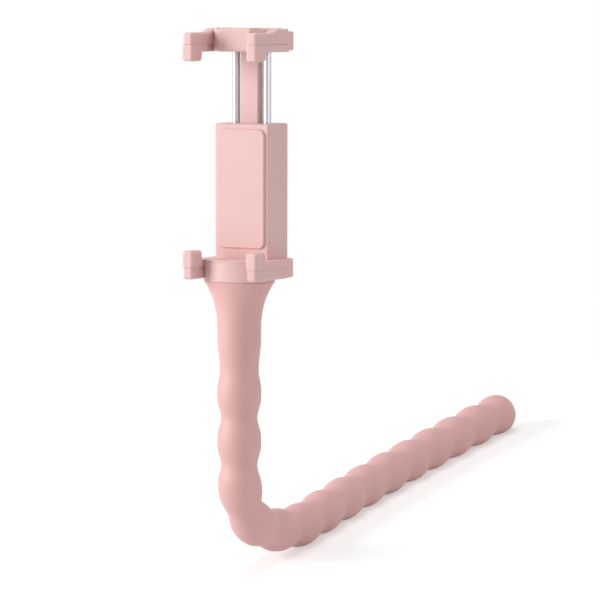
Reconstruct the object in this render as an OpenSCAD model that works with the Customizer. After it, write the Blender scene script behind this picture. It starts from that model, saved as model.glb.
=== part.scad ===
// Flexible phone holder: a sprung clamp for a phone on a beaded silicone arm with a bendable
// metal core. The arm is bent into a leg that lies on the table and a neck that leans back over it.
// Lengths are in millimetres. The origin is on the table, under the bead where the leg begins.

/* [Beaded arm] */
// Diameter of a bead at its crest
bead_d = 16.4; // [14:0.2:19]
// Diameter in the valley between two beads
valley_d = 13.7; // [11.5:0.1:14]
// Distance from one bead to the next along the arm
bead_pitch = 17.6; // [16:0.2:20]
// Beads from the neck to the tip
bead_count = 15; // [9:1:18]
// How far a bead's underside is pressed flat where it lies on the table
foot_flat = 1; // [0.3:0.1:1.2]
// Diameter of the bendable metal core
core_d = 4.4; // [3:0.2:6]

/* [Bend of the arm] */
// Angle by which the neck leans back over the leg
lean = 10; // [0:1:20]
// Radius of the tight part of the elbow
tight_r = 23; // [22:1:28]
// Radius of the easy part of the elbow, next to the leg
easy_r = 80; // [60:1:90]
// Angle that the easy part turns
easy_a = 24; // [15:1:28]
// How far the easy part runs on past the crest of the bead that stands at the origin
run_on = 6; // [0:0.5:8]
// Angle by which the leg sets off to the left
leg_start_a = 1.5; // [0:0.5:4]
// Radius of the leg's slight bow on the table
bow_r = 1300; // [900:50:3000]

/* [Neck] */
// Diameter of the smooth neck above the beads
neck_d = 16.2; // [15:0.2:18]
// Diameter of the first, shallow valley under the smooth neck
first_valley_d = 14.4; // [13:0.2:15]
// Height of the flare's rim above the first bead's centre
flare_top = 41.9; // [38:0.5:48]
// Height above the first bead's centre at which the flare begins
flare_start = 23; // [20:0.5:26]
// Half the flare's width across the clamp
flare_a = 14; // [12.5:0.25:15]
// Half the flare's depth from front to back
flare_b = 10.2; // [9:0.2:11]

/* [Jaws] */
// Distance between the two contact faces, as it is in the rest pose
grip = 76.5; // [70:0.5:85]
// Height of the lower contact face above the first bead's centre
grip_z = 50; // [49:0.5:54]
// Half the width over the two arms of a jaw
jaw_w = 15.7; // [15:0.1:18]
// Width of one arm
arm_w = 4.2; // [3.6:0.1:5]
// Distance of the prongs' front faces before the neck's axis
front_y = 14.5; // [13.5:0.1:17]
// Depth of a prong from front to back
prong_t = 6.3; // [5:0.1:7]
// How far a prong reaches over the phone's face
lip = 3.2; // [2.4:0.1:4]
// Thickness of a jaw behind its contact face
jaw_h = 7.1; // [6.5:0.1:8]
// Distance of the arms' back ends behind the neck's axis
back_y = 9.7; // [9:0.1:11]
// Thickness of the soft pad on a jaw
pad_t = 2.7; // [2:0.1:3.2]
// How far a soft pad stands proud of the hard jaw's sides
pad_proud = 0.25; // [0.1:0.05:0.4]
// Rise of the upper jaw's shoulder over its arms
shoulder = 1.6; // [0.8:0.1:2.2]

/* [Sliding housing] */
// Depth of the rear blocks behind the arms
rear_t = 6.9; // [6.5:0.1:8]
// How far a rear block's sides stand in from the arms
rear_inset = 1.5; // [1:0.1:2]
// Height of the housing's top above the lower contact face
house_h = 50; // [48:0.5:54]
// Thickness of the housing's walls
wall = 1.6; // [1.4:0.1:2]
// Front face of the housing, behind the neck's axis
house_y = 1.5; // [1:0.1:2.5]
// Thickness of the soft rest for the phone's back
rest_t = 0.9; // [0.6:0.1:1.2]
// Diameter of a guide rod
rod_d = 3; // [2.4:0.1:3.4]
// Distance of a guide rod's axis from the hollow's side wall
rod_in = 3.3; // [3.2:0.1:3.5]
// How far the jaws close from the rest pose
close_travel = 19; // [10:0.5:19]
// How far the jaws open from the rest pose
open_travel = 13; // [8:0.5:14]
// Diameter of the spring wire
spring_wire = 0.7; // [0.5:0.1:0.9]
// Turns of each spring
spring_turns = 9; // [6:1:11]

/* [Fits] */
// Radial clearance of a guide rod in its bush
rod_clear = 0.05; // [0.02:0.01:0.1]
// Clearance round the tongue and round the core
slide_clear = 0.15; // [0.1:0.05:0.3]
// Clearance between the silicone and the clamp's stem
stem_clear = 0.1; // [0.05:0.05:0.2]

/* [Hidden] */
$fn = 48;
e = 0.01;
sides = 24;
bore_sides = 12;
steps = 10;
foot_bead = 5;
tight_a = 90 + lean - easy_a;
tight_len = tight_r * tight_a * PI / 180;
easy_len = easy_r * easy_a * PI / 180;
foot_s = foot_bead * bead_pitch + run_on;
neck_s = foot_s - tight_len - easy_len;
tip_s = (bead_count - 1) * bead_pitch;
axis_z = bead_d / 2 - foot_flat;
flat_a = acos(axis_z / (bead_d / 2));
easy_y = run_on - easy_r * sin(easy_a);
easy_z = axis_z + easy_r * (1 - cos(easy_a));
tight_y = easy_y + tight_r * (sin(easy_a) - sin(easy_a + tight_a));
tight_z = easy_z + tight_r * (cos(easy_a) - cos(easy_a + tight_a));
bead_y = tight_y + neck_s * sin(lean);
bead_z = tight_z + neck_s * cos(lean);

core_r = core_d / 2;
bore_r = core_r + 0.05;
ferrule_r = core_r + 1;
ferrule_len = 11;
stem_r = 5.5;
stem_bottom = flare_top - 18;
socket_r = core_r + 1.4;
socket_bottom = stem_bottom + 1.5;
floor_z = flare_top + 3.6;
socket_top = floor_z + 1.6;
flange_r = socket_r + 2.4;
cavity_r = (stem_r + stem_clear) / cos(180 / bore_sides);

inner_x = jaw_w - arm_w;
prong_back = prong_t - front_y;
house_back = back_y + rear_t;
house_top = grip_z + house_h;
cap_t = 4;
cap_z = house_top - cap_t;
cover_t = 1.6;
cover_y = house_back - cover_t;
cavity_x = inner_x - wall;
rod_x = cavity_x - rod_in;
mid_y = (house_y + wall + cover_y) / 2;
rod_r = rod_d / 2;
bush_r = rod_r + 1;
rod_bottom = floor_z + close_travel + 1;
collar_t = 1.8;
collar_z = rod_bottom + 1.2;
collar_r = rod_r + 1.2;
spring_bottom = collar_z + collar_t;
spring_r = rod_r + 0.25 + spring_wire / 2;
upper_z = grip_z + grip;
rod_top = upper_z + jaw_h - 1.4;
tongue_x = rod_x - spring_r - spring_wire / 2 - 0.4;
tongue_t = 4;
tongue_bottom = rod_bottom + 3;
screw_r = 1;
head_r = 1.8;
screw_x = cavity_x - 1.6;
screw_zs = [floor_z + 2, cap_z - 2.2];
boss_y = mid_y + collar_r + 0.2;
screw_len = house_back - boss_y - 0.4;

// Which node to draw

arm_sleeve();
core_wire();
tip_ferrule();
lower_jaw();
lower_pad();
core_socket();
lock_nut();
housing_screws();
rear_cover();
back_rest_pad();
rod_bushes();
upper_jaw();
upper_pad();
guide_rods();
stop_collars();
tongue();
tongue_screw();
spring_left();
spring_right();

// Centreline of the arm, by its length s from the first bead's centre towards the tip

function turn(s) =
    s < neck_s ? easy_a + tight_a :
    s < neck_s + tight_len ? easy_a + tight_a * (1 - (s - neck_s) / tight_len) :
    s < foot_s ? easy_a * (foot_s - s) / easy_len : 0;

function swing(s) = s < foot_s ? 0 : (s - foot_s) / bow_r * 180 / PI - leg_start_a;

function centre(s) =
    s < neck_s ? [0, bead_y - s * sin(lean), bead_z - s * cos(lean)] :
    s < neck_s + tight_len ? [0, easy_y + tight_r * (sin(easy_a) - sin(turn(s))),
        easy_z + tight_r * (cos(easy_a) - cos(turn(s)))] :
    s < foot_s ? [0, run_on - easy_r * sin(turn(s)), axis_z + easy_r * (1 - cos(turn(s)))] :
    [bow_r * (cos(leg_start_a) - cos(swing(s))),
        run_on + bow_r * (sin(swing(s)) + sin(leg_start_a)), axis_z];

function side_dir(s) = [cos(swing(s)), -sin(swing(s)), 0];

function out_dir(s) = s < foot_s ? [0, -sin(turn(s)), -cos(turn(s))] : [0, 0, -1];

// Radius of the sleeve at s: flare, smooth neck, beads and round tip

function ease(t) = t <= 0 ? 0 : t >= 1 ? 1 : t * t * (3 - 2 * t);

function bead_r(s) = valley_d / 2 + (bead_d - valley_d) / 2 * (1 - pow(abs(sin(180 * s / bead_pitch)), 4));

function neck_r(s) = first_valley_d / 2
    + (neck_d - first_valley_d) / 2 * ease((-s - bead_pitch / 2) / 8);

function top_bead_r(s) = first_valley_d / 2
    + (bead_d - first_valley_d) / 2 * (1 - pow(abs(sin(180 * s / bead_pitch)), 4));

function flare_part(s) = pow(max(0, (-s - flare_start) / (flare_top - flare_start)), 2.5);

function sleeve_r(s) =
    s < -bead_pitch / 2 ? neck_r(s) :
    s < 0 ? top_bead_r(s) :
    s < tip_s ? bead_r(s) :
    sqrt(max(0, pow(bead_d / 2, 2) - pow(s - tip_s, 2)));

function lifted(p) = [p[0], p[1], max(p[2], 0)];

// Angle of a ring's corner i, with corners on the edges of the flat that the beads rest on
function corner_a(i) = let (h = sides / 2, k = (i + 3 * h / 2) % sides, j = min(k, sides - k),
    b = j < 2 ? flat_a * j / 2 : flat_a + (180 - flat_a) * (j - 2) / (h - 2))
    90 + (k < h ? b : -b);

function sleeve_ring(s) = [for (i = [0 : sides - 1])
    let (a = corner_a(i),
        ra = sleeve_r(s) + (flare_a - neck_d / 2) * flare_part(s),
        rb = sleeve_r(s) + (flare_b - neck_d / 2) * flare_part(s))
    lifted(centre(s) + ra * cos(a) * side_dir(s) + rb * sin(a) * out_dir(s))];

function tube_ring(s, r, n) = [for (i = [0 : n - 1])
    let (a = i * 360 / n)
    centre(s) + r * (cos(a) * side_dir(s) + sin(a) * out_dir(s))];

function neck_stations() = [for (i = [0 : 15])
    -flare_top + (flare_top - bead_pitch / 2) * (0.35 * i / 16 + 0.65 * pow(i / 16, 1.8))];

function bead_stations() = [for (i = [0 : (bead_count - 0.5) * steps - 1])
    -bead_pitch / 2 + i * bead_pitch / steps];

function tip_stations() = [for (i = [0 : 5]) tip_s + bead_d / 2 * sin(i * 15)];

function core_stations(a, b) = let (n = ceil((b - a) / 4.6))
    [for (i = [0 : n]) a + (b - a) * i / n];

function wall_faces(rings, n, first, flip) = [for (k = [0 : rings - 2], i = [0 : n - 1])
    let (j = (i + 1) % n,
        a = first + k * n + i,
        b = first + k * n + j,
        c = first + k * n + n + j,
        d = first + k * n + n + i)
    each flip ? [[a, b, c], [a, c, d]] : [[a, d, c], [a, c, b]]];

module tube(stations, r, n) {
    rings = [for (s = stations) tube_ring(s, r, n)];
    count = len(rings);
    points = [for (ring = rings, p = ring) p];
    polyhedron(points, concat(wall_faces(count, n, 0, false),
        [[for (i = [0 : n - 1]) i]],
        [[for (i = [0 : n - 1]) count * n - 1 - i]]), convexity = 6);
}

// Silicone sleeve of the arm, one moulding from the flare to the tip

module arm_sleeve() {
    outer_s = concat(neck_stations(), bead_stations(), tip_stations());
    outer = [for (s = outer_s) sleeve_ring(s)];
    core_end = tip_s + 2 - ferrule_len;
    core_s = core_stations(-stem_bottom + e, core_end);
    inner = concat([tube_ring(-flare_top, cavity_r, bore_sides)],
        [tube_ring(-stem_bottom, cavity_r, bore_sides)],
        [for (s = core_s) tube_ring(s, bore_r, bore_sides)],
        [tube_ring(core_end + e, ferrule_r + 0.05, bore_sides)],
        [tube_ring(tip_s + 2.05, ferrule_r + 0.05, bore_sides)]);
    no = len(outer) * sides;
    ni = len(inner) * bore_sides;
    points = concat([for (ring = outer, p = ring) p], [for (ring = inner, p = ring) p],
        [centre(tip_s + bead_d / 2)], [centre(tip_s + 2.05)]);
    rim = [for (i = [0 : bore_sides - 1])
        let (j = (i + 1) % bore_sides, o = 2 * i, q = (2 * i + 2) % sides)
        each [[o, o + 1, no + i], [o + 1, no + j, no + i], [o + 1, q, no + j]]];
    tip_cap = [for (i = [0 : sides - 1]) [no - sides + (i + 1) % sides, no - sides + i, no + ni]];
    inner_cap = [for (i = [0 : bore_sides - 1])
        [no + ni - bore_sides + i, no + ni - bore_sides + (i + 1) % bore_sides, no + ni + 1]];
    color("pink")
    polyhedron(points, concat(wall_faces(len(outer), sides, 0, false),
        wall_faces(len(inner), bore_sides, no, true), rim, tip_cap, inner_cap), convexity = 8);
}

// Bendable metal core, from the clamp's socket to the ferrule in the tip

module core_wire() {
    color("silver")
    tube(concat([-socket_top + 2], core_stations(-stem_bottom + e, tip_s + 2 - ferrule_len),
        [tip_s + 0.5]), core_r, bore_sides);
}

// Cap on the core's end, so that the wire can't pierce the tip

module tip_ferrule() {
    start = tip_s + 2 - ferrule_len;
    color("silver")
    difference() {
        tube([start + 0.05, tip_s + 2], ferrule_r, bore_sides);
        tube([start - 1, tip_s + 0.5], core_r + 0.02, bore_sides);
    }
}

// Frame of the clamp: the first bead's centre, with Z up the neck

module on_neck() {
    translate([0, bead_y, bead_z])
    rotate([-lean, 0, 0])
    children();
}

module round_rect(x0, x1, y0, y1, r) {
    translate([x0 + r, y0])
    square([x1 - x0 - 2 * r, y1 - y0]);
    translate([x0, y0 + r])
    square([x1 - x0, y1 - y0 - 2 * r]);
    for (x = [x0 + r, x1 - r], y = [y0 + r, y1 - r])
    translate([x, y])
    circle(r);
}

function oval(a, b, n) = [for (i = [0 : n - 1]) [a * cos(i * 360 / n), b * sin(i * 360 / n)]];

// Outline of a jaw's two arms from above, k is how far it stands proud

module arms_plan(k) {
    for (m = [0, 1])
    mirror([m, 0])
    round_rect(inner_x - k, jaw_w + k, -front_y - k, back_y, 1.1);
}

// Side view of an arm, with the contact face at height 0 and the prong reaching above it

module arm_side(k) {
    round_rect(-front_y - k, prong_back + k, -jaw_h, lip + k, 1.2);
    translate([prong_back - 2, -jaw_h])
    square([back_y + 2 - prong_back, jaw_h]);
}

// Side view of the shoulder that rises over the upper jaw's arms

module shoulder_side() {
    n = 10;
    rise = [for (i = [0 : n]) [-3 + 6.5 * i / n, -jaw_h - shoulder * ease(i / n)]];
    polygon(concat([[-3, -jaw_h + 1]], rise,
        [[back_y - 1, -jaw_h - shoulder + 0.3], [back_y, -jaw_h - shoulder + 1.1], [back_y, -jaw_h + 1]]));
}

module along_x(half) {
    rotate([90, 0, 90])
    linear_extrude(2 * half, center = true)
    children();
}

module arms(k, raised) {
    intersection() {
        translate([0, 0, -jaw_h - 3])
        linear_extrude(jaw_h + lip + 5)
        arms_plan(k);
        along_x(jaw_w + 2)
        union() {
            arm_side(k);
            if (raised) shoulder_side();
        }
    }
}

module above(z) {
    translate([-30, -30, z])
    cube([60, 80, 40]);
}

// The hard jaw keeps what lies behind the seam, the pad takes the rest

module hard_arms(raised) {
    difference() {
        arms(0, raised);
        above(-pad_t);
    }
}

module soft_arms() {
    intersection() {
        arms(pad_proud, false);
        above(-pad_t);
    }
}

module rear_block(half, z0, z1) {
    translate([0, 0, z0])
    linear_extrude(z1 - z0)
    round_rect(-half, half, back_y - 2, house_back, 1.9);
}

// Lower jaw, moulded in one with the drum, its stem and the housing for the slide

module drum(z0, z1, a, b) {
    translate([0, 0, z0])
    linear_extrude(z1 - z0)
    polygon(oval(a, b, 72));
}

module screw_bosses() {
    for (m = [0, 1], z = screw_zs)
    mirror([m, 0, 0])
    translate([screw_x, cover_y, z])
    rotate([90, 0, 0])
    cylinder(h = cover_y - boss_y, r = 1.9);
}

module screw_places() {
    for (m = [0, 1], z = screw_zs)
    mirror([m, 0, 0])
    translate([screw_x, house_back, z])
    rotate([-90, 0, 0])
    children();
}

module lower_jaw() {
    color("pink")
    on_neck()
    difference() {
        union() {
            translate([0, 0, grip_z])
            hard_arms(false);
            drum(flare_top + e, grip_z - 0.7, flare_a, flare_b);
            translate([0, 0, stem_bottom + 0.1])
            cylinder(h = flare_top - stem_bottom, r = stem_r);
            rear_block(jaw_w - rear_inset, grip_z - jaw_h, grip_z);
            translate([-inner_x, house_y, grip_z - jaw_h])
            cube([2 * inner_x, house_back - house_y, jaw_h + house_h]);
        }
        difference() {
            translate([-cavity_x, house_y + wall, floor_z])
            cube([2 * cavity_x, house_back, cap_z - floor_z]);
            screw_bosses();
        }
        translate([-inner_x + 0.7, cover_y, floor_z - 1])
        cube([2 * inner_x - 1.4, 10, house_top - floor_z - 1]);
        for (x = [-rod_x, rod_x])
        translate([x, mid_y, cap_z - 1])
        cylinder(h = cap_t + 2, r = bush_r);
        translate([-tongue_x - slide_clear, mid_y - tongue_t / 2 - slide_clear, cap_z - 1])
        cube([2 * (tongue_x + slide_clear), tongue_t + 2 * slide_clear, cap_t + 2]);
        translate([0, 0, stem_bottom - 1])
        cylinder(h = socket_top - stem_bottom + 1, r = socket_r);
        translate([0, 0, floor_z])
        cylinder(h = grip_z - 0.7 - floor_z + e, r = flange_r);
        screw_places()
        translate([0, 0, -screw_len - 0.2])
        cylinder(h = 9, r = screw_r);
    }
}

// Soft pad on the lower jaw: both arms with their prong tips, and a thin skin over the drum

module lower_pad() {
    color("pink")
    on_neck()
    translate([0, 0, grip_z])
    difference() {
        union() {
            soft_arms();
            drum(-0.7, 0, flare_a, flare_b);
        }
        translate([-inner_x, house_y, -10])
        cube([2 * inner_x, 30, 30]);
        rear_block(jaw_w - rear_inset, -jaw_h, 1);
        drum(-10, -0.7, flare_a, flare_b);
    }
}

// Metal socket that holds the top end of the core in the drum

module core_socket() {
    color("silver")
    on_neck()
    difference() {
        union() {
            translate([0, 0, socket_bottom])
            cylinder(h = socket_top - socket_bottom, r = socket_r);
            translate([0, 0, floor_z])
            cylinder(h = 1.6, r = flange_r);
        }
        translate([0, 0, socket_bottom - 1])
        cylinder(h = socket_top - socket_bottom - 0.8, r = core_r + 0.03);
    }
}

// Slotted nut that holds the socket's flange down in the drum

module lock_nut() {
    color("silver")
    on_neck()
    difference() {
        translate([0, 0, socket_top])
        cylinder(h = grip_z - 0.9 - socket_top, r = flange_r);
        translate([0, 0, socket_top - 1])
        cylinder(h = 10, r = socket_r);
        for (a = [45, 135])
        translate([0, 0, grip_z - 1.6])
        rotate(a)
        translate([-flange_r - 1, -0.6, 0])
        cube([2 * flange_r + 2, 1.2, 2]);
    }
}

// Pan-head screws that close the housing, all alike

module housing_screws() {
    color("silver")
    on_neck()
    screw_places()
    difference() {
        union() {
            translate([0, 0, -screw_len])
            cylinder(h = screw_len + 0.2, r = screw_r);
            cylinder(h = 1.1, r = head_r);
        }
        for (a = [0, 90])
        rotate(a)
        translate([-1.1, -0.25, 0.6])
        cube([2.2, 0.5, 1]);
    }
}

// Cover over the open back of the housing

module rear_cover() {
    color("pink")
    on_neck()
    difference() {
        translate([0, house_back, 0])
        rotate([90, 0, 0])
        linear_extrude(cover_t)
        round_rect(-inner_x + 0.8, inner_x - 0.8, floor_z - 0.9, house_top - 2.1, 1.2);
        screw_places()
        translate([0, 0, -5])
        cylinder(h = 9, r = screw_r);
    }
}

// Soft rest for the phone's back, glued to the front of the housing

module back_rest_pad() {
    color("pink")
    on_neck()
    translate([0, house_y, 0])
    rotate([90, 0, 0])
    linear_extrude(rest_t)
    round_rect(-inner_x + 1.5, inner_x - 1.5, grip_z + 4, house_top - 2, 2.5);
}

// Plastic bushes in the housing's top that the guide rods slide in

module rod_bushes() {
    color("white")
    on_neck()
    for (x = [-rod_x, rod_x])
    translate([x, mid_y, cap_z])
    difference() {
        cylinder(h = cap_t, r = bush_r);
        translate([0, 0, -1])
        cylinder(h = cap_t + 2, r = rod_r + rod_clear);
    }
}

// Upper jaw: the lower jaw's arms turned over, a chamfered body between them and a rear block

module body_plan() {
    polygon([[-inner_x - 1, -1.7], [-inner_x, -1.7], [-6.6, -4], [6.6, -4], [inner_x, -1.7],
        [inner_x + 1, -1.7], [inner_x + 1, back_y], [-inner_x - 1, back_y]]);
}

module upper_jaw() {
    color("pink")
    on_neck()
    translate([0, 0, upper_z])
    difference() {
        union() {
            mirror([0, 0, 1])
            hard_arms(true);
            intersection() {
                linear_extrude(jaw_h + shoulder)
                body_plan();
                along_x(jaw_w)
                round_rect(-5, back_y + 4, -2, jaw_h + shoulder, 1);
            }
            rear_block(jaw_w - rear_inset, 0.4, jaw_h + 0.4);
        }
        for (m = [0, 1])
        mirror([m, 0, 0])
        translate([6.8, -6, jaw_h + shoulder - 0.45])
        cube([2.2, back_y + 6.5, 2]);
        for (x = [-rod_x, rod_x])
        translate([x, mid_y, -1])
        cylinder(h = rod_top - upper_z + 1, r = rod_r);
        translate([-tongue_x, mid_y - tongue_t / 2, -1])
        cube([2 * tongue_x, tongue_t, 5]);
        translate([0, mid_y, 0])
        cylinder(h = 20, r = screw_r);
        translate([0, mid_y, jaw_h + 0.4 - 1.3])
        cylinder(h = 20, r = head_r + 0.2);
    }
}

// Soft pad on the upper jaw

module upper_pad() {
    color("pink")
    on_neck()
    translate([0, 0, upper_z])
    difference() {
        mirror([0, 0, 1])
        soft_arms();
        translate([-inner_x - 1, -4, 0])
        cube([2 * inner_x + 2, 30, 30]);
        rear_block(jaw_w - rear_inset, 0.4, jaw_h);
    }
}

// Steel guide rods, pressed into the upper jaw

module guide_rods() {
    color("silver")
    on_neck()
    for (x = [-rod_x, rod_x])
    translate([x, mid_y, 0])
    difference() {
        translate([0, 0, rod_bottom])
        cylinder(h = rod_top - rod_bottom, r = rod_r);
        difference() {
            translate([0, 0, collar_z])
            cylinder(h = collar_t, r = rod_r + 1);
            cylinder(h = 200, r = rod_r - 0.3);
        }
    }
}

// Stop collars in the rods' grooves, which the springs push against

module stop_collars() {
    color("silver")
    on_neck()
    for (x = [-rod_x, rod_x])
    translate([x, mid_y, collar_z])
    difference() {
        cylinder(h = collar_t, r = collar_r);
        translate([0, 0, -1])
        cylinder(h = collar_t + 2, r = rod_r - 0.3);
    }
}

// Flat tongue that keeps the upper jaw from twisting

module tongue() {
    color("pink")
    on_neck()
    difference() {
        translate([-tongue_x, mid_y - tongue_t / 2, tongue_bottom])
        cube([2 * tongue_x, tongue_t, upper_z + 4 - tongue_bottom]);
        translate([0, mid_y, upper_z - 4])
        cylinder(h = 20, r = screw_r);
    }
}

// Screw that fixes the tongue in the upper jaw

module tongue_screw() {
    color("silver")
    on_neck()
    translate([0, mid_y, upper_z + jaw_h + 0.4 - 1.3])
    difference() {
        union() {
            translate([0, 0, -8])
            cylinder(h = 8.2, r = screw_r);
            cylinder(h = 1.1, r = head_r);
        }
        for (a = [0, 90])
        rotate(a)
        translate([-1.1, -0.25, 0.6])
        cube([2.2, 0.5, 1]);
    }
}

// Closing springs, wound round the rods between the collars and the housing's top

module spring(x) {
    n = 6;
    per_turn = 12;
    count = spring_turns * per_turn + 1;
    z0 = spring_bottom + spring_wire / 2;
    z1 = cap_z - spring_wire / 2;
    rings = [for (k = [0 : count - 1])
        let (t = k / (count - 1), f = t * 360 * spring_turns,
            z = z0 + (z1 - z0) * (0.35 * t + 0.65 * ease(t)))
        [for (i = [0 : n - 1])
            let (a = i * 360 / n, r = spring_r + spring_wire / 2 * cos(a))
            [r * cos(f), r * sin(f), z + spring_wire / 2 * sin(a)]]];
    translate([x, mid_y, 0])
    polyhedron([for (ring = rings, p = ring) p], concat(wall_faces(count, n, 0, true),
        [[for (i = [0 : n - 1]) n - 1 - i]],
        [[for (i = [0 : n - 1]) (count - 1) * n + i]]), convexity = 10);
}

module spring_left() {
    color("silver")
    on_neck()
    spring(-rod_x);
}

module spring_right() {
    color("silver")
    on_neck()
    spring(rod_x);
}
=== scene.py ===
import math
import bmesh
import bpy
from mathutils import Matrix, Vector


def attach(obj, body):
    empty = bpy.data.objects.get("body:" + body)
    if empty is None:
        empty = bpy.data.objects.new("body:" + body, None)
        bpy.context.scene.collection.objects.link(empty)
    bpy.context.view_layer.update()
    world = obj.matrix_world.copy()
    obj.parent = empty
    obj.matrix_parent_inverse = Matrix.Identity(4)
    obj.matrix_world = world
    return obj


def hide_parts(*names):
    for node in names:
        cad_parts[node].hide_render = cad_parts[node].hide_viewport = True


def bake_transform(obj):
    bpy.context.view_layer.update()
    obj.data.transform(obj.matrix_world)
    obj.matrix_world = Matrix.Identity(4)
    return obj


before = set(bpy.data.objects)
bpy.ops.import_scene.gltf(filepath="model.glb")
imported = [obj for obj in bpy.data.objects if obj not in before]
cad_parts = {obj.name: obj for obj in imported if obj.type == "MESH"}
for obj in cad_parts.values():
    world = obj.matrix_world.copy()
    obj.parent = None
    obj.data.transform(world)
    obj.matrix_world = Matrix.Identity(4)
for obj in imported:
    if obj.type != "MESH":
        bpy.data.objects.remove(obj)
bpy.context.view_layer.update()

# The arm's sleeve: one soft silicone moulding with a smooth neck that flares to the clamp, fifteen
# beads and a round tip. It is drawn over the metal core, and its flare is pushed over the stem.

mm = 0.001
lean = math.radians(10)
bead_y, bead_z = -34.6284 * mm, 68.6477 * mm
bead_r, valley_r, pitch = 8.2 * mm, 6.78 * mm, 17.6 * mm
neck_r, first_valley_r = 8.1 * mm, 7.2 * mm
flare_top, flare_start, flare_a, flare_b = 41.9 * mm, 23 * mm, 14 * mm, 10.2 * mm
stem_bottom = flare_top - 18 * mm
tight_r, tight_a, easy_r, easy_a = 23 * mm, math.radians(76), 80 * mm, math.radians(24)
bow_r, leg_a, axis_z, run_on = 1300 * mm, math.radians(1.5), 7.2 * mm, 6 * mm
foot_s, tip_s = 5 * pitch + run_on, 14 * pitch
neck_s = foot_s - tight_r * tight_a - easy_r * easy_a
ferrule_s = tip_s - 9 * mm
skin_corners, neck_steps, half_beads, half_steps = 64, 26, 29, 7
neck_ease, flare_bend, bead_bend = 12 * mm, 2.5, 3


def turn(s):
    if s < neck_s:
        return easy_a + tight_a
    if s < neck_s + tight_r * tight_a:
        return easy_a + tight_a - (s - neck_s) / tight_r
    return max(0.0, (foot_s - s) / easy_r)


def swing(s):
    return 0.0 if s < foot_s else (s - foot_s) / bow_r - leg_a


def centre(s):
    t = turn(s)
    if s < neck_s:
        return Vector((0, bead_y - s * math.sin(lean), bead_z - s * math.cos(lean)))
    if s < neck_s + tight_r * tight_a:
        y = run_on - easy_r * math.sin(easy_a) + tight_r * (math.sin(easy_a) - math.sin(t))
        z = axis_z + easy_r * (1 - math.cos(easy_a)) + tight_r * (math.cos(easy_a) - math.cos(t))
        return Vector((0, y, z))
    if s < foot_s:
        return Vector((0, run_on - easy_r * math.sin(t), axis_z + easy_r * (1 - math.cos(t))))
    w = swing(s)
    return Vector((bow_r * (math.cos(leg_a) - math.cos(w)),
                   run_on + bow_r * (math.sin(w) + math.sin(leg_a)), axis_z))


def ease(t):
    t = min(1.0, max(0.0, t))
    return t * t * (3 - 2 * t)


def round_part(s):
    return 1 - abs(math.sin(math.pi * s / pitch)) ** bead_bend


def sleeve_size(s):
    if s < -pitch / 2:
        part = max(0.0, (-s - flare_start) / (flare_top - flare_start)) ** flare_bend
        r = first_valley_r + (neck_r - first_valley_r) * ease((-s - pitch / 2) / neck_ease)
        return r + (flare_a - neck_r) * part, r + (flare_b - neck_r) * part
    if s < 0:
        r = first_valley_r + (bead_r - first_valley_r) * round_part(s)
    elif s < tip_s:
        r = valley_r + (bead_r - valley_r) * round_part(s)
    else:
        r = math.sqrt(max(0.0, bead_r ** 2 - (s - tip_s) ** 2))
    return r, r


def select_none():
    if bpy.context.mode != "OBJECT":
        bpy.ops.object.mode_set(mode="OBJECT")
    bpy.ops.object.select_all(action="DESELECT")


def take(piece):
    select_none()
    piece.select_set(True)
    bpy.context.view_layer.objects.active = piece


def pick(kind, test):
    bpy.ops.mesh.select_mode(type=kind)
    bpy.ops.mesh.select_all(action="DESELECT")
    shape = bmesh.from_edit_mesh(bpy.context.object.data)
    for part in {"VERT": shape.verts, "EDGE": shape.edges, "FACE": shape.faces}[kind]:
        if test(part):
            part.select_set(True)
    bmesh.update_edit_mesh(bpy.context.object.data)


def lay_ring(s, across, deep, corners):
    bpy.ops.mesh.primitive_circle_add(vertices=corners, radius=1, location=centre(s),
                                      rotation=(math.pi / 2 - turn(s), 0, 0))
    if bpy.context.mode != "EDIT_MESH":
        bpy.ops.object.transform_apply(location=True, rotation=True, scale=True)
        bpy.ops.object.mode_set(mode="EDIT")
    bpy.ops.transform.resize(value=(across, deep, deep), center_override=centre(s))


def draw_along(stations, size):
    last = stations[0]
    for s in stations[1:]:
        here = centre(s)
        bpy.ops.mesh.extrude_region_move(TRANSFORM_OT_translate={"value": here - centre(last)})
        bend, yaw = turn(last) - turn(s), swing(last) - swing(s)
        if abs(bend) > 1e-9:
            bpy.ops.transform.rotate(value=-bend, orient_axis="X", center_override=here)
        if abs(yaw) > 1e-9:
            bpy.ops.transform.rotate(value=-yaw, orient_axis="Z", center_override=here)
        (a0, b0), (a1, b1) = size(last), size(s)
        if (a0, b0) != (a1, b1):
            bpy.ops.transform.resize(value=(a1 / a0, b1 / b0, b1 / b0), center_override=here)
        last = s


def close_end(step):
    bpy.ops.mesh.extrude_region_move(TRANSFORM_OT_translate={"value": step})
    bpy.ops.mesh.merge(type="CENTER")


def spread(low, high, count):
    return [low + (high - low) * (i / count) for i in range(count + 1)]


neck_stations = [-flare_top + (flare_top - pitch / 2) * (0.45 * part + 0.55 * part ** 1.8)
                 for part in spread(0, 1, neck_steps)]
bead_stations = spread(-pitch / 2, tip_s, half_beads * half_steps)[1:]
tip_stations = [tip_s + bead_r * math.sin(math.radians(a))
                for a in (11, 22, 33, 44, 55, 66, 76, 84)]
lay_ring(-flare_top, flare_a, flare_b, skin_corners)
sleeve = bpy.context.object
sleeve.name = "silicone_sleeve"
draw_along(neck_stations + bead_stations + tip_stations, sleeve_size)
close_end(centre(tip_s + bead_r) - centre(tip_stations[-1]))
pick("VERT", lambda v: v.co.z < 0)
bpy.ops.transform.resize(value=(1, 1, 0), center_override=(0, 0, 0))

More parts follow.
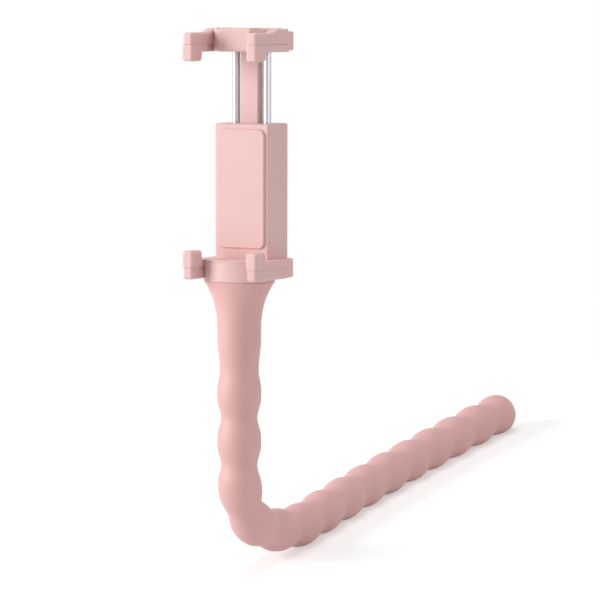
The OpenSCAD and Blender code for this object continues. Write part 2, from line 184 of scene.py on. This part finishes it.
stem_hole, core_hole, ferrule_hole = 5.65 * mm, 2.25 * mm, 3.25 * mm
bpy.ops.mesh.select_all(action="DESELECT")
lay_ring(-flare_top, stem_hole, stem_hole, 32)
draw_along([-flare_top, -stem_bottom], lambda s: (1, 1))
core_stations = spread(-stem_bottom, ferrule_s, 62)
for grown, stations in ((core_hole / stem_hole, core_stations),
                        (ferrule_hole / core_hole, [ferrule_s, tip_s + 2.05 * mm])):
    bpy.ops.mesh.extrude_region_move()
    bpy.ops.transform.resize(value=(grown,) * 3, center_override=centre(stations[0]))
    draw_along(stations, lambda s: (1, 1))
bpy.ops.mesh.extrude_region_move()
bpy.ops.mesh.merge(type="CENTER")
pick("EDGE", lambda e: e.is_boundary)
bpy.ops.mesh.bridge_edge_loops()
bpy.ops.mesh.select_all(action="SELECT")
bpy.ops.mesh.normals_make_consistent(inside=False)
take(sleeve)
bpy.ops.object.shade_smooth_by_angle(angle=math.radians(50))


class Wire:
    """A shader socket that is reckoned with like a number."""

    def __init__(self, tree, socket):
        self.tree, self.socket = tree, socket

    def feed(self, socket, value):
        if isinstance(value, Wire):
            self.tree.links.new(value.socket, socket)
        else:
            socket.default_value = value

    def maths(self, kind, *others):
        node = self.tree.nodes.new("ShaderNodeMath")
        node.operation = kind
        for socket, value in zip(node.inputs, (self,) + others):
            self.feed(socket, value)
        return Wire(self.tree, node.outputs[0])

    def node(self, kind, output, settings=(), **values):
        node = self.tree.nodes.new("ShaderNode" + kind)
        for key, value in dict(settings).items():
            setattr(node, key, value)
        for key, value in values.items():
            self.feed(node.inputs[int(key[1:]) if key[1:].isdigit() else key.replace("_", " ")],
                      value)
        return Wire(self.tree, node.outputs[output])

    def __add__(self, other): return self.maths("ADD", other)
    def __radd__(self, other): return self.maths("ADD", other)
    def __mul__(self, other): return self.maths("MULTIPLY", other)
    def __rmul__(self, other): return self.maths("MULTIPLY", other)

    def noise(self, scale, detail=2.0, rough=0.5):
        return self.node("TexNoise", "Fac", Vector=self, Scale=scale, Detail=detail,
                         Roughness=rough)

    def between(self, low, high):
        return self.node("MapRange", "Result", {"interpolation_type": "SMOOTHSTEP"}, Value=self,
                         From_Min=low, From_Max=high)

    def tint(self, dark, light):
        return self.node("Mix", 2, {"data_type": "RGBA"}, _0=self, _6=(*dark, 1), _7=(*light, 1))


def finish_of(name, **constants):
    material = bpy.data.materials.new(name)
    material.use_nodes = True
    tree = material.node_tree
    shader = next(n for n in tree.nodes if n.type == "BSDF_PRINCIPLED")
    for key, value in constants.items():
        shader.inputs[key.replace("_", " ")].default_value = value
    place = tree.nodes.new("ShaderNodeTexCoord")
    return material, shader, Wire(tree, place.outputs["Object"])


def shape_finish(shader, place, colour, roughness, bump, depth, strength=0.5):
    place.feed(shader.inputs["Base Color"], colour)
    place.feed(shader.inputs["Roughness"], roughness)
    place.feed(shader.inputs["Normal"],
               place.node("Bump", "Normal", Height=bump, Distance=depth, Strength=strength))


def tinted(colour, share):
    return tuple(min(1.0, c * share) for c in colour)


blush = (0.715, 0.405, 0.388)
head_blush = (0.735, 0.475, 0.458)


def soft_touch(name, colour, rough, grain, depth):
    material, shader, place = finish_of(name, Sheen_Weight=0.07, Sheen_Roughness=0.45,
                                        Specular_IOR_Level=0.55, Subsurface_Weight=0.03,
                                        Subsurface_Scale=0.004)
    cloud = place.noise(42.0, 3.0)
    fine = place.noise(grain, 2.0, 0.6)
    shape_finish(shader, place, cloud.tint(tinted(colour, 0.965), tinted(colour, 1.03)),
                 rough + 0.07 * cloud + 0.06 * fine, fine, depth)
    return material


silicone = soft_touch("soft silicone", blush, 0.47, 5200.0, 0.00004)
sleeve.data.materials.append(silicone)
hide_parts("arm_sleeve")
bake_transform(sleeve)

# The bendable core: a soft aluminium rod that keeps whatever bend it is given. Its top end is
# held in the clamp's socket, and a turned ferrule covers the other end inside the tip.

core_r, core_top = 2.2 * mm, 45.1 * mm
select_none()
lay_ring(-core_top, core_r, core_r, 20)
core = bpy.context.object
core.name = "bendable_core"
bpy.ops.mesh.edge_face_add()
draw_along([-core_top] + spread(-stem_bottom, tip_s + 0.45 * mm, 66), lambda s: (1, 1))
bpy.ops.mesh.select_all(action="SELECT")
bpy.ops.mesh.normals_make_consistent(inside=False)
take(core)
bpy.ops.object.shade_smooth_by_angle(angle=math.radians(40))


def metal_finish(name, light, dark, rough, streaks):
    material, shader, place = finish_of(name, Metallic=1.0)
    drawn = place.node("Mapping", "Vector", Vector=place, Rotation=(-lean, 0, 0),
                       Scale=streaks).noise(1.0, 3.0, 0.6)
    cloud = place.noise(260.0, 3.0)
    shape_finish(shader, place, cloud.tint(dark, light), rough + 0.14 * drawn, drawn, 0.000012, 0.4)
    return material


def plate(node, material):
    fitting = bpy.data.objects[node]
    fitting.data.materials.clear()
    fitting.data.materials.append(material)


core_metal = metal_finish("drawn aluminium", (0.80, 0.80, 0.80), (0.70, 0.70, 0.71), 0.34,
                          (900, 900, 90))
core.data.materials.append(core_metal)
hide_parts("core_wire")
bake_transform(core)
plate("tip_ferrule", core_metal)

# The drum's inner fittings: a turned steel socket grips the top end of the core, and a slotted nut
# holds its flange down in the drum. Both are bright plated and keep the shape they are drawn with.

bright = metal_finish("bright plated steel", (0.56, 0.56, 0.58), (0.51, 0.51, 0.53), 0.22,
                      (1400, 1400, 160))
plate("core_socket", bright)
plate("lock_nut", bright)

# The lower jaw: one hard matt moulding of two arms, the oval drum with its stem, the rear block
# and the hollow housing in which the upper jaw's rods and tongue slide.

grip_z, upper_z, inner_x, jaw_x = 50.0, 126.5, 11.5, 15.7
front_y, back_y, house_y, house_back, house_top = -14.5, 9.7, 1.5, 16.6, 100.0
mid_y, rod_x, floor_z, cap_z, cover_y = 9.05, 6.6, 45.5, 96.0, 15.0
jaw_h, pad_h, drum_low, skin_z = 7.1, 2.7, 41.91, 49.3
corner, brow, seam, screw_r, rod_r = 1.1, 0.95, 0.16, 1.0, 1.5
rear_x, rear_y, hollow_x, hollow_y = 14.2, 7.7, 9.9, 3.1
cover_x, cover_low, cover_high, cover_gap = 10.7, 44.6, 97.9, 0.1
tongue_x, tongue_front, tongue_back, slot_gap, bush_r = 3.75, 7.05, 11.05, 0.15, 2.5
screw_spots = [(x, z) for x in (-8.3, 8.3) for z in (47.5, 93.8)]
neck_frame = Matrix.Translation((0, bead_y, bead_z)) @ Matrix.Rotation(-lean, 4, "X")


def block(low, high):
    select_none()
    low, high = Vector(low) * mm, Vector(high) * mm
    bpy.ops.mesh.primitive_cube_add(size=1, location=(low + high) / 2, scale=high - low)
    bpy.ops.object.transform_apply(location=True, rotation=True, scale=True)
    return bpy.context.object


def bar(x, y, low, high, across, deep=None, corners=64, lying=False):
    select_none()
    spot = (x, (low + high) / 2, y) if lying else (x, y, (low + high) / 2)
    bpy.ops.mesh.primitive_cylinder_add(
        vertices=corners, radius=1, depth=1, location=Vector(spot) * mm,
        scale=(across * mm, (deep or across) * mm, (high - low) * mm),
        rotation=(math.pi / 2 if lying else 0, 0, 0))
    bpy.ops.object.transform_apply(location=True, rotation=True, scale=True)
    return bpy.context.object


def work_on(piece):
    take(piece)
    bpy.ops.object.mode_set(mode="EDIT")


def discard(piece):
    take(piece)
    bpy.ops.object.delete()


def round_edges(piece, radius, steps, test):
    work_on(piece)
    pick("EDGE", lambda e: test((e.verts[0].co + e.verts[1].co) / 2 / mm,
                                (e.verts[1].co - e.verts[0].co).normalized()))
    bpy.ops.mesh.bevel(offset=radius * mm, segments=steps, affect="EDGES", clamp_overlap=False)
    bpy.ops.object.mode_set(mode="OBJECT")


def near(a, b):
    return abs(a - b) < 0.02


def upright(way):
    return abs(way.z) > 0.99


def work_with(piece, tool, kind):
    take(piece)
    bpy.ops.object.modifier_add(type="BOOLEAN")
    cut = piece.modifiers[-1]
    cut.operation, cut.solver, cut.object = kind, "EXACT", tool
    bpy.ops.object.modifier_apply(modifier=cut.name)
    discard(tool)


def fuse(piece, *tools):
    for tool in tools:
        work_with(piece, tool, "UNION")
    return piece


def carve(piece, *tools):
    for tool in tools:
        work_with(piece, tool, "DIFFERENCE")
    return piece


def twin(piece, flip, about=0.0):
    take(piece)
    bpy.ops.object.duplicate()
    other = bpy.context.object
    bpy.ops.object.mode_set(mode="EDIT")
    bpy.ops.mesh.select_all(action="SELECT")
    bpy.ops.transform.resize(value=flip, center_override=(0, 0, about * mm))
    bpy.ops.mesh.normals_make_consistent(inside=False)
    bpy.ops.object.mode_set(mode="OBJECT")
    return other


def on_the_neck(piece):
    take(piece)
    piece.matrix_world = neck_frame @ piece.matrix_world
    bpy.ops.object.transform_apply(location=True, rotation=True, scale=True)


def fit(piece, name, node, body, material):
    piece.name = name
    work_on(piece)
    bpy.ops.mesh.select_all(action="SELECT")
    bpy.ops.mesh.remove_doubles(threshold=0.000002)
    bpy.ops.mesh.normals_make_consistent(inside=False)
    bpy.ops.object.mode_set(mode="OBJECT")
    on_the_neck(piece)
    bpy.ops.object.shade_smooth_by_angle(angle=math.radians(32))
    bpy.ops.object.modifier_add(type="WEIGHTED_NORMAL")
    piece.modifiers[-1].keep_sharp = True
    bpy.ops.object.modifier_apply(modifier=piece.modifiers[-1].name)
    piece.data.materials.clear()
    piece.data.materials.append(material)
    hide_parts(node)
    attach(piece, body)


def hard_arm():
    arm = block((inner_x, front_y, grip_z - jaw_h), (jaw_x, back_y, grip_z - pad_h))
    round_edges(arm, corner, 5, lambda p, way: upright(way))
    round_edges(arm, brow, 5, lambda p, way: near(p.z, grip_z - jaw_h))
    round_edges(arm, seam, 2, lambda p, way: near(p.z, grip_z - pad_h))
    return arm


def rear_block(low, high):
    rear = block((-rear_x, rear_y, low), (rear_x, house_back, high))
    round_edges(rear, 1.9, 6, lambda p, way: upright(way))
    round_edges(rear, 0.7, 4, lambda p, way: near(p.z, low) or near(p.z, high))
    return rear


arm_right = hard_arm()
arm_left = twin(arm_right, (-1, 1, 1))
drum = bar(0, 0, drum_low, skin_z, 14, 10.2, corners=96)
round_edges(drum, 0.35, 3, lambda p, way: near(p.z, drum_low))
round_edges(drum, 0.12, 2, lambda p, way: near(p.z, skin_z))
stem = bar(0, 0, 24.0, 43.0, 5.5)
round_edges(stem, 0.5, 3, lambda p, way: near(p.z, 24.0))
house = block((-inner_x, house_y, grip_z - jaw_h), (inner_x, house_back, house_top))
round_edges(house, 0.8, 4, lambda p, way: upright(way) and near(p.y, house_y))
round_edges(house, 1.4, 5, lambda p, way: upright(way) and near(p.y, house_back))
round_edges(house, 0.7, 4, lambda p, way: near(p.z, house_top))
lower_jaw = fuse(drum, stem, arm_right, arm_left, rear_block(42.9, 50.0), house)
hollow = block((-hollow_x, hollow_y, floor_z), (hollow_x, house_back + 0.5, cap_z))
round_edges(hollow, 0.6, 3, lambda p, way: upright(way) and near(p.y, hollow_y))
hollow = carve(hollow, *[bar(x, z, 11.95, cover_y, 1.9, lying=True, corners=32)
                         for x, z in screw_spots])
recess = block((-cover_x - cover_gap, cover_y, cover_low - cover_gap),
               (cover_x + cover_gap, house_back + 1, cover_high + cover_gap))
round_edges(recess, 1.2, 4, lambda p, way: abs(way.y) > 0.99)
carve(lower_jaw, hollow, recess, bar(0, 0, 22, 47.1, 3.6, corners=48),
      bar(0, 0, floor_z, 49.5, 6.0),
      *[bar(x, mid_y, 95, 101, bush_r, corners=48) for x in (-rod_x, rod_x)],
      block((-tongue_x - slot_gap, tongue_front - slot_gap, 95),
            (tongue_x + slot_gap, tongue_back + slot_gap, 101)),
      *[bar(x, z, 12.15, 17, screw_r, lying=True, corners=24) for x, z in screw_spots])
shell = soft_touch("matt moulded shell", head_blush, 0.45, 3600.0, 0.00005)
fit(lower_jaw, "lower_jaw_moulding", "lower_jaw", "clamp", shell)

# The soft pads: rubber over-moulded on the inner side of both jaws. Each arm's pad turns up into
# a prong that holds the phone's edge, and a thin skin covers the lower drum.

prong_y, prong_h, half_way = -7.95, 3.45, (grip_z + upper_z) / 2


def soft_arm():
    pad = block((11.25, -14.75, grip_z - pad_h), (15.95, back_y, grip_z))
    work_on(pad)
    bpy.ops.mesh.bisect(plane_co=(0, prong_y * mm, 0), plane_no=(0, 1, 0))
    pick("FACE", lambda f: f.normal.z > 0.9 and f.calc_center_median().y < (prong_y - 0.01) * mm)
    bpy.ops.mesh.extrude_region_move(TRANSFORM_OT_translate={"value": (0, 0, prong_h * mm)})
    bpy.ops.mesh.select_all(action="SELECT")
    bpy.ops.mesh.dissolve_limited(angle_limit=math.radians(1))
    bpy.ops.object.mode_set(mode="OBJECT")
    round_edges(pad, corner, 5, lambda p, way: upright(way) and (p.y < -14 or p.y > 9))
    round_edges(pad, 0.6, 4, lambda p, way: upright(way) and near(p.y, prong_y))
    round_edges(pad, 0.4, 4, lambda p, way: near(p.y, prong_y) and near(p.z, grip_z))
    round_edges(pad, 0.9, 5, lambda p, way: near(p.z, grip_z + prong_h))
    round_edges(pad, seam, 2, lambda p, way: near(p.z, grip_z - pad_h))
    return pad


pad_right = soft_arm()
pad_left = twin(pad_right, (-1, 1, 1))
upper_pads = [twin(pad, (1, 1, -1), half_way) for pad in (pad_right, pad_left)]
skin = bar(0, 0, skin_z, grip_z, 14, 10.2, corners=96)
round_edges(skin, 0.28, 3, lambda p, way: near(p.z, grip_z))
round_edges(skin, 0.12, 2, lambda p, way: near(p.z, skin_z))
lower_pad = carve(fuse(skin, pad_right, pad_left),
                  block((-inner_x, house_y, 40), (inner_x, 32, 70)),
                  block((-rear_x, rear_y, 40), (rear_x, 32, 70)))
rubber = soft_touch("soft pad rubber", tinted(head_blush, 1.02), 0.5, 4300.0, 0.00006)
fit(lower_pad, "lower_soft_pad", "lower_pad", "clamp", rubber)

# Pan-head screws, all alike, with a cross recess. Four of them close the housing from behind,
# and a fifth holds the tongue in the upper jaw.

head_h, slot_l, slot_w = 1.1, 1.1, 0.25


def pan_screw(shank):
    screw = bar(0, 0, 0, head_h, 1.8, corners=48)
    round_edges(screw, 0.55, 5, lambda p, way: near(p.z, head_h))
    round_edges(screw, 0.12, 2, lambda p, way: near(p.z, 0))
    stalk = bar(0, 0, -shank, 0.3, screw_r, corners=32)
    round_edges(stalk, 0.3, 2, lambda p, way: near(p.z, -shank))
    slots = [block((-a, -b, 0.55), (a, b, 2)) for a, b in ((slot_l, slot_w), (slot_w, slot_l))]
    return carve(fuse(screw, stalk), *slots)


def set_screw(pattern, x, y, z, turned=Matrix.Identity(4)):
    other = twin(pattern, (1, 1, 1))
    other.matrix_world = Matrix.Translation(Vector((x, y, z)) * mm) @ turned @ other.matrix_world
    bpy.ops.object.transform_apply(location=True, rotation=True, scale=True)
    return other


def join_up(pieces):
    select_none()
    for piece in pieces:
        piece.select_set(True)
    bpy.context.view_layer.objects.active = pieces[0]
    bpy.ops.object.join()
    return bpy.context.object


pattern = pan_screw(4.25)
house_screws = [set_screw(pattern, x, house_back, z, Matrix.Rotation(0.5 + i * 0.9, 4, "Y")
                          @ Matrix.Rotation(-math.pi / 2, 4, "X"))
                for i, (x, z) in enumerate(screw_spots)]
fit(join_up(house_screws), "housing_pan_screws", "housing_screws", "clamp", bright)
discard(pattern)

# The rear cover: a thin moulded plate with rounded corners, let into the back of the housing so
# that it lies flush, and held by the four screws.

cover = block((-cover_x, cover_y, cover_low), (cover_x, house_back, cover_high))
round_edges(cover, 1.2, 5, lambda p, way: abs(way.y) > 0.99)
round_edges(cover, 0.3, 3, lambda p, way: near(p.y, house_back))
carve(cover, *[bar(x, z, 12, 18, screw_r, lying=True, corners=24) for x, z in screw_spots])
fit(cover, "rear_cover_plate", "rear_cover", "clamp", shell)

# The back rest: a thin soft pad with rounded corners, glued to the front of the housing, which
# the phone's back leans on.

rest_y = 0.6
rest = block((-10, rest_y, 54), (10, house_y, 98))
round_edges(rest, 2.5, 8, lambda p, way: abs(way.y) > 0.99)
round_edges(rest, 0.45, 4, lambda p, way: near(p.y, rest_y))
fit(rest, "back_rest", "back_rest_pad", "clamp", rubber)

# The bushes: short turned collars of natural plastic, pressed into the housing's top, that the
# guide rods run in.


def turn_profile(x, y, points, corners, closed_loop):
    select_none()
    r, z = points[0]
    bpy.ops.mesh.primitive_circle_add(vertices=corners, radius=r * mm,
                                      location=(x * mm, y * mm, z * mm))
    bpy.ops.object.transform_apply(location=True, rotation=True, scale=True)
    bpy.ops.object.mode_set(mode="EDIT")
    if not closed_loop:
        bpy.ops.mesh.edge_face_add()
    for r2, z2 in points[1:]:
        bpy.ops.mesh.extrude_region_move(TRANSFORM_OT_translate={"value": (0, 0, (z2 - z) * mm)})
        bpy.ops.transform.resize(value=(r2 / r, r2 / r, 1),
                                 center_override=(x * mm, y * mm, z2 * mm))
        r, z = r2, z2
    if closed_loop:
        pick("EDGE", lambda e: e.is_boundary)
        bpy.ops.mesh.bridge_edge_loops()
    bpy.ops.object.mode_set(mode="OBJECT")
    return bpy.context.object


bush_profile = [(bush_r, cap_z), (bush_r, 99.85), (2.35, house_top), (1.75, house_top),
                (1.55, 99.8), (1.55, cap_z)]
bushes = join_up([turn_profile(x, mid_y, bush_profile, 48, True) for x in (-rod_x, rod_x)])
natural, shader, place = finish_of("natural bush plastic", Subsurface_Weight=0.1,
                                   Subsurface_Scale=0.003)
worn = place.noise(700.0, 3.0)
shape_finish(shader, place, worn.tint((0.74, 0.72, 0.68), (0.82, 0.80, 0.76)), 0.38 + 0.1 * worn,
             worn, 0.00003)
fit(bushes, "rod_bush_rings", "rod_bushes", "clamp", natural)

# The upper jaw: a second hard moulding, the lower arms turned over, with shoulders that rise to a
# chamfered body between them, two shallow grooves on top and a rear block.


foot_y, crest_y, fall_y = -3, 3.5, 8.7
slope_lines = [foot_y + (crest_y - foot_y) * i / 8 for i in range(9)] + [fall_y]


def rise(y):
    if y < crest_y:
        return 1.6 * ease((y - foot_y) / (crest_y - foot_y))
    if y < fall_y:
        return 1.6 - 0.3 * (y - crest_y) / (fall_y - crest_y)
    return 1.3 - 0.8 * (y - fall_y)


def raised_arm():
    arm = block((inner_x, front_y, upper_z + pad_h), (jaw_x, back_y, upper_z + jaw_h))
    work_on(arm)
    for y in slope_lines:
        bpy.ops.mesh.select_all(action="SELECT")
        bpy.ops.mesh.bisect(plane_co=(0, y * mm, 0), plane_no=(0, 1, 0))
    for y in slope_lines[1:] + [back_y]:
        pick("VERT", lambda v: near(v.co.y / mm, y) and near(v.co.z / mm, upper_z + jaw_h))
        bpy.ops.transform.translate(value=(0, 0, rise(y) * mm))
    bpy.ops.object.mode_set(mode="OBJECT")
    round_edges(arm, corner, 5, lambda p, way: upright(way) and (
        near(p.y, front_y) or near(p.y, back_y)))
    round_edges(arm, brow, 5, lambda p, way: p.z > upper_z + 7 and (
        near(p.x, inner_x) or near(p.x, jaw_x) or p.y < -13.3 or p.y > 8.8) and not upright(way))
    round_edges(arm, seam, 2, lambda p, way: near(p.z, upper_z + pad_h))
    return arm


raised_right = raised_arm()
raised_left = twin(raised_right, (-1, 1, 1))
body_x, body_y, body_h, flat_x = 12.2, -4, 8.7, 6.6
rear_low, rear_high, rod_top, tongue_top, seat_z = 126.9, 134.0, 132.2, 130.5, 132.7
body = block((-body_x, body_y, upper_z), (body_x, back_y, upper_z + body_h))
work_on(body)
for side in (-1, 1):
    bpy.ops.mesh.select_all(action="SELECT")
    bpy.ops.mesh.bisect(plane_co=(flat_x * side * mm, body_y * mm, 0),
                        plane_no=(2.3 * side, -4.9, 0), clear_outer=True, use_fill=True)
bpy.ops.object.mode_set(mode="OBJECT")
round_edges(body, 0.35, 3, lambda p, way: upright(way) and near(abs(p.x), flat_x))
round_edges(body, 1.0, 5, lambda p, way: (near(p.z, upper_z) or near(p.z, upper_z + body_h))
            and p.y < 0 and abs(way.x) > 0.05)
grooves = [block((x, -6, upper_z + 8.25), (x + 2.2, 10.2, upper_z + 11)) for x in (-9.0, 6.8)]
upper_jaw = fuse(body, raised_right, raised_left, rear_block(rear_low, rear_high))
carve(upper_jaw, *grooves,
      *[bar(x, mid_y, 125, rod_top, rod_r, corners=48) for x in (-rod_x, rod_x)],
      block((-tongue_x, tongue_front, 125), (tongue_x, tongue_back, tongue_top)),
      bar(0, mid_y, 126, 140, screw_r, corners=32), bar(0, mid_y, seat_z, 140, 2.0, corners=48))
fit(upper_jaw, "upper_jaw_moulding", "upper_jaw", "slider", shell)
upper_pad = carve(join_up(upper_pads), block((-12.5, -4, 110), (12.5, 32, 150)),
                  block((-rear_x, rear_y, rear_low), (rear_x, 32, 150)))
fit(upper_pad, "upper_soft_pads", "upper_pad", "slider", rubber)

# The guide rods: ground and plated steel, chamfered at the lower end, with a groove for the stop
# collar, and pressed into the upper jaw. The collars stay as they are drawn.

rod_profile = [(1.15, 65.5), (rod_r, 65.85), (rod_r, 66.7), (1.2, 66.7), (1.2, 68.5),
               (rod_r, 68.5), (rod_r, 131.9), (1.2, rod_top)]
rods = [turn_profile(x, mid_y, rod_profile, 64, False) for x in (-rod_x, rod_x)]
fit(join_up(rods), "ground_guide_rods", "guide_rods", "slider", bright)
plate("stop_collars", bright)

# The tongue: a flat moulded strip that keeps the upper jaw from twisting. It slides in the slot
# between the bushes, and its screw goes down through the upper jaw.

tongue = block((-tongue_x, tongue_front, 68.5), (tongue_x, tongue_back, tongue_top))
round_edges(tongue, 0.45, 3, lambda p, way: upright(way))
round_edges(tongue, 0.6, 3, lambda p, way: near(p.z, 68.5))
carve(tongue, bar(0, mid_y, 122.5, 133, screw_r, corners=32))
fit(tongue, "sliding_tongue", "tongue", "slider", shell)
pattern = pan_screw(8.0)
jaw_screw = set_screw(pattern, 0, mid_y, seat_z)
fit(jaw_screw, "tongue_pan_screw", "tongue_screw", "slider", bright)
discard(pattern)

# The closing springs: drawn steel wire wound on the rods, nine turns each. They push the collars
# away from the housing's top and so pull the jaws together.


def wind_spring(x):
    turns, steps, r, wire = 9, 20, 2.1, 0.35
    low, high = 68.5 + wire, cap_z - wire
    axis = Vector((x, mid_y, 0)) * mm
    select_none()
    bpy.ops.mesh.primitive_circle_add(vertices=10, radius=wire * mm,
                                      location=axis + Vector((r, 0, low)) * mm,
                                      rotation=(math.pi / 2, 0, 0))
    bpy.ops.object.transform_apply(location=True, rotation=True, scale=True)
    bpy.ops.object.mode_set(mode="EDIT")
    bpy.ops.mesh.edge_face_add()
    z = low
    for k in range(1, turns * steps + 1):
        t = k / (turns * steps)
        z2 = low + (high - low) * (0.35 * t + 0.65 * ease(t))
        bpy.ops.mesh.extrude_region_move(TRANSFORM_OT_translate={"value": (0, 0, (z2 - z) * mm)})
        bpy.ops.transform.rotate(value=-2 * math.pi / steps, orient_axis="Z",
                                 center_override=axis + Vector((0, 0, z2)) * mm)
        z = z2
    bpy.ops.mesh.select_all(action="SELECT")
    bpy.ops.mesh.normals_make_consistent(inside=False)
    bpy.ops.object.mode_set(mode="OBJECT")
    return bpy.context.object


wire_steel = metal_finish("drawn spring wire", (0.60, 0.59, 0.58), (0.46, 0.45, 0.45), 0.26,
                          (2600, 2600, 2600))
for x, side in ((-rod_x, "left"), (rod_x, "right")):
    coil = wind_spring(x)
    coil.name = "closing_spring_" + side
    on_the_neck(coil)
    bpy.ops.object.shade_smooth_by_angle(angle=math.radians(60))
    coil.data.materials.append(wire_steel)
    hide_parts("spring_" + side)
    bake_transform(coil)

# The stage: a white table that keeps the soft shadow, a large soft key light from the front left,
# a weak fill from the right, an even white room and the camera.


def seen_rays(tree):
    path = tree.nodes.new("ShaderNodeLightPath")
    direct, glossy, clear = (Wire(tree, path.outputs["Is " + kind + " Ray"])
                             for kind in ("Camera", "Glossy", "Transmission"))
    return direct.maths("MAXIMUM", glossy).maths("MAXIMUM", clear)


select_none()
bpy.ops.mesh.primitive_plane_add(size=12, location=(0, 0, -0.00005))
table = bpy.context.object
table.name = "table_top"
bpy.ops.object.transform_apply(location=True, rotation=True, scale=True)
table_white = bpy.data.materials.new("table white")
table_white.use_nodes = True
tree = table_white.node_tree
tree.nodes.clear()
ground = Wire(tree, tree.nodes.new("ShaderNodeTexCoord").outputs["Object"])
seen = seen_rays(tree)
far = ground.node("VectorMath", "Value", {"operation": "LENGTH"}, _0=ground).between(0.19, 0.34)
matt = ground.node("BsdfDiffuse", 0, Color=(0.80, 0.80, 0.80, 1))
lift = ground.node("Emission", 0, Color=(1, 1, 1, 1), Strength=seen * 0.36)
plain = ground.node("Emission", 0, Color=(1, 1, 1, 1), Strength=1.0)
by_part = ground.node("AddShader", 0, _0=matt, _1=lift)
lit = ground.node("MixShader", 0, _0=seen * far, _1=by_part, _2=plain)
out = tree.nodes.new("ShaderNodeOutputMaterial")
tree.links.new(lit.socket, out.inputs["Surface"])
table.data.materials.append(table_white)

room = bpy.data.worlds.new("white room")
bpy.context.scene.world = room
room.use_nodes = True
tree = room.node_tree
tree.nodes.clear()
seen = seen_rays(tree)
sky = seen.node("Background", 0, Color=(1, 1, 1, 1), Strength=seen * 0.61 + 0.39)
out = tree.nodes.new("ShaderNodeOutputWorld")
tree.links.new(sky.socket, out.inputs["Surface"])


def soft_lamp(name, place, aim, size, power):
    bpy.ops.object.light_add(type="AREA", location=place)
    lamp = bpy.context.object
    lamp.name = name
    lamp.data.size = size
    lamp.data.energy = power
    lamp.rotation_euler = (Vector(aim) - Vector(place)).to_track_quat("-Z", "Y").to_euler()


select_none()
soft_lamp("key", (-0.85, -0.72, 0.5), (0, 0, 0.11), 0.6, 11.5)
soft_lamp("fill", (0.85, -0.1, 0.4), (0, 0.02, 0.10), 0.5, 1.5)
soft_lamp("top", (0.0, 0.1, 1.0), (0, 0.05, 0.05), 0.6, 2.8)
bpy.ops.object.camera_add(location=(0.72367, -1.20914, 0.43203),
                          rotation=[math.radians(a) for a in (76.5054, 4.8506, 29.4203)])
camera = bpy.context.object
camera.data.lens = 231.06
camera.data.clip_start = 0.05
bpy.context.scene.camera = camera
bpy.context.scene.view_settings.view_transform = "Standard"
